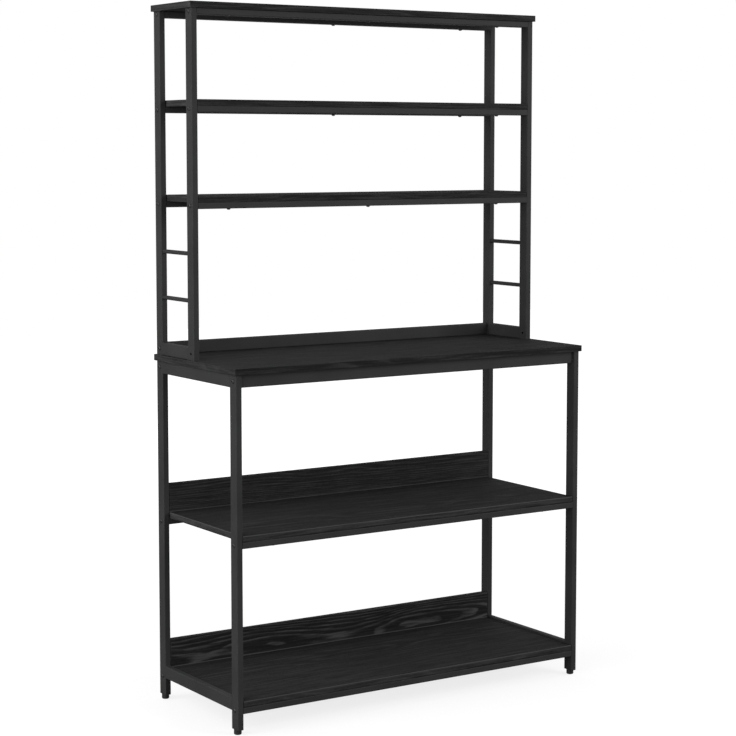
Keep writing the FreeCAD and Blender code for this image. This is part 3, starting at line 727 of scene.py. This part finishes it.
WELDED_RAILS = {"base": ("rail", "top", "bottom"), "counter": ("rail", "bottom"), "hutch": ("skirt", "top")}
fillets, grooves, rings = [], [], []
for side in ("left", "right"):
    for part, (kind, *beads) in WELDED_RAILS.items():
        low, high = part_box(f"{part}_{side}_{kind}")
        levels = [high.z + FILLET_LIFT if bead == "top" else low.z - FILLET_LIFT for bead in beads]
        fillets.extend(fillet_seams(low, high, levels))
        grooves.extend(groove_seams(low, high))
    for level in ("lower", "upper"):
        rings.extend(ring_seams(*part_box(f"{side}_{level}_hook_bar")))
print("Seams:", len(fillets), "fillets,", len(grooves), "grooves and", len(rings), "rings")

# %% [markdown]
# The seams become a mesh of edges only, which the tree takes as its paths. Every seam could be an object
# of its own, but one mesh for each kind of bead keeps the scene short. The beads are coated with the
# frame, so they take the coat without the worn edges and their painted sheen. A ground groove has hardly
# any ripples left.

# %% Weld the end frames
FILLET_RADIUS, GROOVE_RADIUS, RING_RADIUS = 1.5 * MM, 1.15 * MM, 1.2 * MM
RIPPLE_PITCH = 1.7 * MM
RIPPLE_DEPTH_SHARE, GROUND_DEPTH_SHARE = 0.16, 0.03
SAME_POINT = 1e-9


def seam_mesh(name, lines):
    """Each line is a list of points, and a line that ends where it starts is a loop."""
    mesh = bpy.data.meshes.new(name)
    points, edges = [], []
    for line in lines:
        loop = (line[0] - line[-1]).length < SAME_POINT
        spots = line[:-1] if loop else line
        first = len(points)
        points.extend(spots)
        edges.extend((first + i, first + i + 1) for i in range(len(spots) - 1))
        if loop:
            edges.append((first + len(spots) - 1, first))
    mesh.from_pydata(points, edges, [])
    return mesh


def weld(name, seams, radius, depth, round_ends):
    grow(name, seam_mesh(f"{name}_seams", seams), weld_bead, "rack", "powder_coated_steel", Finish=bar_coat,
         Bead_Radius=radius, Ripple_Pitch=RIPPLE_PITCH, Ripple_Depth=depth, Round_Ends=round_ends)


weld("weld_fillets", fillets, FILLET_RADIUS, RIPPLE_DEPTH_SHARE, round_ends=1.0)
weld("weld_grooves", grooves, GROOVE_RADIUS, GROUND_DEPTH_SHARE, round_ends=1.0)
weld("bar_weld_rings", rings, RING_RADIUS, RIPPLE_DEPTH_SHARE, round_ends=0.0)

# %% [markdown]
# Each levelling foot turns on an M8 stud, whose thread shows when the foot is let down. The Screw
# modifier could wind a profile round an axis, but its ends would need closing. A thread follows a rule:
# how deep it is cut at any point depends only on the height and the angle there. Along the height the cut
# is a triangle wave, which moves on by one pitch in a turn, and at the tips it is a chamfer.

# %% The rule of the thread
def thread_cut(tree, given, spot):
    """How deep the thread and the chamfered tips cut into the rod at a spot."""
    angle = calc(tree, "DIVIDE", calc(tree, "ARCTAN2", spot["Y"], spot["X"]), math.tau)
    turns = calc(tree, "SUBTRACT", calc(tree, "DIVIDE", spot["Z"], given["Pitch"]), angle)
    climb = calc(tree, "FRACT", turns)
    flank = calc(tree, "ABSOLUTE", calc(tree, "MULTIPLY_ADD", climb, 2.0, -1.0))
    groove = calc(tree, "MULTIPLY", calc(tree, "SUBTRACT", 1.0, flank), given["Depth"])
    half = calc(tree, "MULTIPLY", given["Length"], 0.5)
    to_end = calc(tree, "SUBTRACT", half, calc(tree, "ABSOLUTE", spot["Z"]))
    tip = calc(tree, "MAXIMUM", calc(tree, "SUBTRACT", given["Tip"], to_end), 0.0)
    return calc(tree, "MAXIMUM", groove, tip)


print("The rule of the thread is ready")

# %% [markdown]
# With the rule, a cylinder with many rows is enough: a Set Position node draws each point towards the
# axis. A Displace modifier could move the points too, but it follows the normals, and here every point
# has to keep its height, so that the pitch stays true.

# %% The threaded stud tree
STUD_SIDES = 28


def stud_tree():
    tree, given, made = new_group(
        "Threaded stud",
        {"Nothing": "Geometry", "Radius": "Float", "Length": "Float", "Pitch": "Float", "Depth": "Float",
         "Tip": "Float", "Rows": "Int", "Middle": "Vector", "Finish": "Material"},
        {"Stud": "Geometry"}, "GeometryNodeTree")
    rod = add(tree, "GeometryNodeMeshCylinder", Vertices=STUD_SIDES, Side_Segments=given["Rows"],
              Radius=given["Radius"], Depth=given["Length"])
    place = add(tree, "GeometryNodeInputPosition").outputs[0]
    cut = thread_cut(tree, given, axes_of(tree, place))
    keep = calc(tree, "DIVIDE", calc(tree, "SUBTRACT", given["Radius"], cut), given["Radius"])
    across = add(tree, "ShaderNodeCombineXYZ", X=keep, Y=keep, Z=1.0).outputs[0]
    shape = add(tree, "GeometryNodeSetPosition", Geometry=rod.outputs["Mesh"],
                Position=vector_calc(tree, "MULTIPLY", place, across), Offset=given["Middle"])
    end_tree(tree, shape.outputs["Geometry"], given["Finish"], made["Stud"])
    return tree


stud = stud_tree()
print("Geometry tree:", stud.name)

# %% [markdown]
# Each stud takes its radius, length and place from the plain stud in the CAD model, which it replaces.
# Sizes could be typed again here, but then they could drift apart. The thread is right-handed with the
# pitch of M8, so it climbs as the CAD joint says: eight turns lower the foot by 10 mm.

# %% Thread the foot studs
THREAD_PITCH, THREAD_DEPTH = 1.25 * MM, 0.68 * MM
STUD_TIP = 0.8 * MM
ROWS_PER_TURN = 8
for foot in ("front_left", "front_right", "rear_left", "rear_right"):
    low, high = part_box(f"{foot}_foot_stud")
    length = high.z - low.z
    piece = grow(f"{foot}_threaded_stud", bpy.data.meshes.new(f"{foot}_start"), stud, f"{foot}_stud",
                 "zinc_plated_steel", Radius=(high.x - low.x) / 2, Length=length, Pitch=THREAD_PITCH,
                 Depth=THREAD_DEPTH, Tip=STUD_TIP, Rows=round(length / THREAD_PITCH * ROWS_PER_TURN),
                 Middle=(low + high) / 2, Finish=zinc)
    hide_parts(f"{foot}_foot_stud")

# %% [markdown]
# The frame bolts are button heads with a hexagon socket, and the shelf screws are pan heads with a cross.
# The recesses could be cut with a Boolean modifier, which often leaves untidy faces. Here a head is a
# stack of rings with 24 points each: round ones up the shank and over the dome, then hexagons or crosses
# down into the recess.

# %% The points of a ring
RING_POINTS = 24
CROSS_ARM_SHARE = 0.25
ON_AXIS = 1e-6


def ring_points(shape, radius, z):
    points = []
    for step in range(RING_POINTS):
        angle = math.tau * step / RING_POINTS
        reach = radius
        if shape == "hexagon":
            reach = radius * math.cos(math.pi / 6) / math.cos(angle % (math.pi / 3) - math.pi / 6)
        elif shape == "cross":
            off_arm = abs((angle + math.pi / 4) % (math.pi / 2) - math.pi / 4)
            reach = min(radius, CROSS_ARM_SHARE * radius / max(math.sin(off_arm), ON_AXIS))
        points.append((reach * math.cos(angle), reach * math.sin(angle), z))
    return points


print("Points in a ring:", RING_POINTS)

# %% [markdown]
# The rings are joined by quads, and the first and the last one are closed. The Spin tool could turn an
# outline into a head, but not into one that goes from round to hexagon. Creases sharper than 35 degrees
# stay sharp, so only the domes are shaded smooth.

# %% Join the rings to a mesh
SHARP_CREASE = math.radians(35)


def ringed_mesh(name, rings):
    """Rings in mm from the tip of the shank to the bottom of the recess, joined by quads and closed."""
    points = [point for shape, radius, z in rings for point in ring_points(shape, radius * MM, z * MM)]
    faces = [tuple(reversed(range(RING_POINTS))), tuple(range(len(points) - RING_POINTS, len(points)))]
    for start in range(0, len(points) - RING_POINTS, RING_POINTS):
        above = start + RING_POINTS
        for step in range(RING_POINTS):
            after = (step + 1) % RING_POINTS
            faces.append((start + step, start + after, above + after, above + step))
    mesh = bpy.data.meshes.new(name)
    mesh.from_pydata(points, [], faces)
    mesh.set_sharp_from_angle(angle=SHARP_CREASE)
    return mesh


print("Creases sharper than", round(math.degrees(SHARP_CREASE)), "degrees stay sharp")

# %% [markdown]
# A head's dome rises steeply from its edge and comes in flat to the rim of the recess. It could be a list
# of measured points, but one curve with a single control point, as in the pen tool of a drawing program,
# gives the outline from three places. Each place is a radius and a height in mm above the underside of
# the head.

# %% The heads of bolts and screws
def dome(edge, control, rim, steps):
    rings = []
    for step in range(steps + 1):
        t = step / steps
        radius, z = ((1 - t) ** 2 * a + 2 * t * (1 - t) * b + t ** 2 * c
                     for a, b, c in zip(edge, control, rim))
        rings.append(("round", radius, z))
    return rings


BOLT_HEAD = [("round", 5.5, 0), *dome((5.5, 0.4), (4.6, 2.1), (2.7, 2.5), 5),
             ("hexagon", 2.31, 2.5), ("hexagon", 2.31, 1.0)]
SCREW_HEAD = [("round", 4.5, 0), *dome((4.5, 0.8), (4.0, 2.7), (2.3, 3.0), 4),
              ("cross", 2.1, 3.0), ("cross", 1.5, 1.4)]
print("Rings in a bolt head:", len(BOLT_HEAD), "and in a screw head:", len(SCREW_HEAD))

# %% [markdown]
# Nobody lines up the sockets of all the bolts in a frame, so every fastener is turned by an angle of its
# own. The angles could be drawn in Python, but one Random Value node with a fixed seed keeps them in the
# tree. An attribute on the points tells which way each fastener faces.

# %% Turn each fastener
def fastener_turn(tree, seed):
    """Each fastener faces along the attribute of its point and is turned about that axis by chance."""
    facing = add(tree, "GeometryNodeInputNamedAttribute", ("data_type", "FLOAT_VECTOR"), Name="facing")
    aim = add(tree, "FunctionNodeAlignRotationToVector", ("axis", "Z"),
              Vector=next(out for out in facing.outputs if out.enabled))
    chance = add(tree, "FunctionNodeRandomValue", ("data_type", "FLOAT"), Seed=seed)
    next(s for s in chance.inputs if s.name == "Max" and s.type == "VALUE").default_value = math.tau
    spin = add(tree, "FunctionNodeAxisAngleToRotation", Axis=(0.0, 0.0, 1.0),
               Angle=next(out for out in chance.outputs if out.enabled))
    turned = add(tree, "FunctionNodeRotateRotation", ("rotation_space", "LOCAL"),
                 Rotation=aim.outputs["Rotation"], Rotate_By=spin.outputs["Rotation"])
    return turned.outputs["Rotation"]


print("Fasteners get a turn by chance")

# %% [markdown]
# The tree puts the one mesh on every place where the CAD model has such a fastener. Copies of the object
# could be placed by hand, but as instances they share one mesh, and a changed head changes everywhere at
# once.

# %% The fastener tree
def fastener_tree():
    tree, given, made = new_group(
        "Fasteners on places",
        {"Places": "Geometry", "Shape": "Object", "Seed": "Int", "Finish": "Material"},
        {"Fasteners": "Geometry"}, "GeometryNodeTree")
    source = add(tree, "GeometryNodeObjectInfo", Object=given["Shape"])
    spread = add(tree, "GeometryNodeInstanceOnPoints", Points=given["Places"],
                 Instance=source.outputs["Geometry"], Rotation=fastener_turn(tree, given["Seed"]))
    end_tree(tree, spread.outputs["Instances"], given["Finish"], made["Fasteners"])
    return tree


fasteners = fastener_tree()
print("Geometry tree:", fasteners.name)

# %% [markdown]
# The CAD model keeps all fasteners of a kind in one node. Their places could be typed from the drawing,
# but they can be read from the node itself. Its mesh is loose triangles, so a copy is merged first. Then
# each group of joined corners is one fastener, and the box round the group tells where it sits and how
# long it is.

# %% Find the fasteners in the CAD model
MERGE_GAP = 1e-3 * MM


def islands(name):
    """The box of each separate solid in a CAD node, in the order of its first corner."""
    copy = bmesh.new()
    copy.from_mesh(nodes[name].data)
    bmesh.ops.remove_doubles(copy, verts=copy.verts, dist=MERGE_GAP)
    left, boxes = set(copy.verts), []
    for first in copy.verts:
        if first not in left:
            continue
        left.remove(first)
        todo, found = [first], []
        while todo:
            corner = todo.pop()
            found.append(corner.co)
            for other in [edge.other_vert(corner) for edge in corner.link_edges]:
                if other in left:
                    left.remove(other)
                    todo.append(other)
        boxes.append([Vector(limit(point[axis] for point in found) for axis in range(3))
                      for limit in (min, max)])
    copy.free()
    return boxes


KINDS = {
    # radii and lengths in mm, and the axis along which the fastener lies
    "frame_bolts": dict(head=BOLT_HEAD, shank=3.0, tip=2.4, taper=0.8, axis=0),
    "shelf_screws": dict(head=SCREW_HEAD, shank=2.0, tip=0.5, taper=3.0, axis=2),
    "back_board_screws": dict(head=SCREW_HEAD, shank=2.0, tip=0.5, taper=3.0, axis=2),
}
places_of = {name: islands(name) for name in KINDS}
print("Fasteners:", {name: len(boxes) for name, boxes in places_of.items()})

# %% [markdown]
# Bolts face outwards through the posts, and screws face down through the rails. The mesh of a kind gets a
# shank as long as the CAD fastener's, so the dressed fastener fills the same hole. It could be laid over
# the CAD node, but two heads in one place would flicker through each other, so it replaces the node.

# %% Put the fasteners in place
TURN_SEED = 7


def dress_fasteners(name, head, shank, tip, taper, axis):
    head_height = max(z for shape, radius, z in head)
    low, high = places_of[name][0]
    length = (high - low)[axis] / MM - head_height
    rings = [("round", tip, -length), ("round", shank, taper - length), ("round", shank, 0), *head]
    shape = bpy.data.objects.new(f"{name}_shape", ringed_mesh(f"{name}_shape", rings))
    places, facings = [], []
    for low, high in places_of[name]:
        middle = (low + high) / 2
        facing = Vector((math.copysign(1, middle.x), 0, 0)) if axis == 0 else Vector((0, 0, -1))
        places.append(middle + facing * ((high - low)[axis] / 2 - head_height * MM))
        facings.extend(facing)
    start = bpy.data.meshes.new(f"{name}_places")
    start.from_pydata(places, [], [])
    start.attributes.new("facing", "FLOAT_VECTOR", "POINT").data.foreach_set("vector", facings)
    piece = grow(f"dressed_{name}", start, fasteners, "rack", "black_fasteners", Shape=shape, Seed=TURN_SEED,
                 Finish=blackened)
    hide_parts(name)
    bpy.data.objects.remove(shape)


for name, form in KINDS.items():
    dress_fasteners(name, **form)

# %% [markdown]
# The photograph is a cut-out on white. A white world alone could stand for that, but it would also light
# the shelf strongly from everywhere, and a black finish would turn grey. A Light Path node tells rays
# apart: the world is white to the camera, and half as bright in reflections and as light on the shelf.

# %% The white room
AMBIENT = 0.5
ROOM_IN_GLOSS = 0.5


def seen_directly(tree, in_gloss):
    """How white the surroundings are: 1 to the camera and through glass, in_gloss in a reflection."""
    ray = add(tree, "ShaderNodeLightPath").outputs
    sharp = calc(tree, "MAXIMUM", ray["Is Camera Ray"], ray["Is Transmission Ray"])
    return calc(tree, "MAXIMUM", sharp, calc(tree, "MULTIPLY", ray["Is Glossy Ray"], in_gloss))


world = bpy.data.worlds.new("White room")
bpy.context.scene.world = world
world.use_nodes = True
room = world.node_tree
sky = room.nodes["Background"]
sky.inputs["Color"].default_value = (1.0, 1.0, 1.0, 1.0)
feed(room, calc(room, "MAXIMUM", seen_directly(room, ROOM_IN_GLOSS), AMBIENT), sky.inputs["Strength"])
print("World is white to the camera, with ambient light of", AMBIENT)

# %% [markdown]
# The floor of the photograph is white too and shows no shadow. A shadow catcher could stand for it, but
# it needs the picture to be laid over white afterwards. Instead the floor glows white to the camera, a
# little less near the shelf, where ordinary grey paint adds the rest and takes a faint shadow. To the
# shelf it is a grey floor with hardly any glow.

# %% The paint of the floor
FLOOR_PAINT = (0.22, 0.22, 0.22, 1.0)
FLOOR_IN_GLOSS = 0.15
GLOW_NEAR, GLOW_FAR = 0.8, 1.0
NEAR_SHELF, FAR_FROM_SHELF = 0.8, 4.5


def floor_material():
    paint = bpy.data.materials.new("white_floor")
    paint.use_nodes = True
    tree = paint.node_tree
    tree.nodes.remove(tree.nodes["Principled BSDF"])
    matt = add(tree, "ShaderNodeBsdfDiffuse", Color=FLOOR_PAINT)
    away = vector_calc(tree, "LENGTH", add(tree, "ShaderNodeTexCoord").outputs["Object"])
    own_white = ramp(tree, away, NEAR_SHELF, FAR_FROM_SHELF, GLOW_NEAR, GLOW_FAR)
    strength = calc(tree, "MULTIPLY", seen_directly(tree, FLOOR_IN_GLOSS), own_white)
    glow = add(tree, "ShaderNodeEmission", Strength=strength)
    both = add(tree, "ShaderNodeAddShader")
    feed(tree, matt.outputs[0], both.inputs[0])
    feed(tree, glow.outputs[0], both.inputs[1])
    feed(tree, both.outputs[0], tree.nodes["Material Output"].inputs["Surface"])
    return paint


print("Floor glows from", GLOW_NEAR, "near the shelf to", GLOW_FAR, "far from it")

# %% [markdown]
# The floor itself is one large square, so large that the camera never sees its edge. A plane from the Add
# menu could do, but four points say its size plainly. It is no part of the shelf.

# %% The floor
FLOOR_HALF = 9.0
corners = [(x * FLOOR_HALF, y * FLOOR_HALF, 0) for x, y in ((-1, -1), (1, -1), (1, 1), (-1, 1))]
floor_mesh = bpy.data.meshes.new("floor")
floor_mesh.from_pydata(corners, [], [(0, 1, 2, 3)])
floor_mesh.materials.append(floor_material())
floor = bpy.data.objects.new("floor", floor_mesh)
bpy.context.scene.collection.objects.link(floor)
print("Floor is", 2 * FLOOR_HALF, "m wide")

# %% [markdown]
# Soft studio light comes from large panels, because a black coat shows little but the reflections of what
# is around it. Point lamps or a sun could give the same brightness, but with hard shadows and small
# glints. Three panels light the left side from the rear, from far away and from the front, and two the
# right side. The one behind the shelf only lights it: its reflection would be a glare on the side faces,
# so gloss doesn't see it.

# %% The softboxes
PANELS = {
    # place and aim in metres, then width and height in metres, and brightness
    "left_rear_panel": ((-3.2, 0.6, 2.7), (-0.1, 0.0, 0.6), 2.2, 2.2, 4.0),
    "far_left_panel": ((-7.0, 0.2, 1.2), (0.0, 0.0, 0.8), 3.0, 3.0, 5.6),
    "left_front_panel": ((-4.5, -2.5, 1.8), (0.0, 0.0, 0.9), 2.4, 2.4, 4.6),
    "right_front_panel": ((2.2, -2.9, 2.0), (0.2, 0.0, 1.0), 2.0, 2.4, 5.6),
    "right_panel": ((5.0, -0.2, 1.4), (0.0, 0.0, 0.9), 2.4, 2.4, 3.0),
    "rear_panel": ((0.6, 5.0, 1.4), (0.0, 0.0, 0.9), 2.4, 2.0, 4.0),
}
OUT_OF_GLOSS = ("rear_panel",)


def softbox(name, place, aim, width, height, brightness):
    light = bpy.data.lights.new(name, "AREA")
    light.shape = "RECTANGLE"
    light.size, light.size_y = width, height
    light.energy = brightness * width * height * math.pi
    lamp = bpy.data.objects.new(name, light)
    lamp.location = place
    lamp.rotation_euler = (Vector(aim) - Vector(place)).to_track_quat("-Z", "Y").to_euler()
    lamp.visible_camera = False
    lamp.visible_glossy = name not in OUT_OF_GLOSS
    bpy.context.scene.collection.objects.link(lamp)
    print(name, "at", place)


for name, panel in PANELS.items():
    softbox(name, *panel)

# %% [markdown]
# The camera stands where the photograph was taken: to the left of the front, at about four fifths of the
# shelf's height. It could be moved by eye until the outlines agree, but its angle, distance and focal
# length were solved from the posts' edges and the boards' corners, which is more exact. A small downward
# shift of the lens takes part of the tilt away, so the posts stay nearly upright.

# %% The camera
FRAME_PX, FOCAL_PX = 736, 2003.2
SENSOR_MM = 36.0
LENS_SHIFT = -0.05
CAMERA_PLACE = (-2.6936, -4.1167, 1.3476)
TILT_DOWN, TURN_RIGHT = math.radians(5.286), math.radians(33.07)

camera_data = bpy.data.cameras.new("photo_camera")
camera_data.sensor_width = SENSOR_MM
camera_data.lens = FOCAL_PX / FRAME_PX * SENSOR_MM
camera_data.shift_y = LENS_SHIFT
camera = bpy.data.objects.new("photo_camera", camera_data)
camera.location = CAMERA_PLACE
camera.rotation_euler = (math.radians(90) - TILT_DOWN, 0.0, -TURN_RIGHT)
bpy.context.scene.collection.objects.link(camera)
bpy.context.scene.camera = camera
bpy.context.scene.view_settings.view_transform = "Standard"
print("Camera lens:", round(camera_data.lens, 2), "mm")
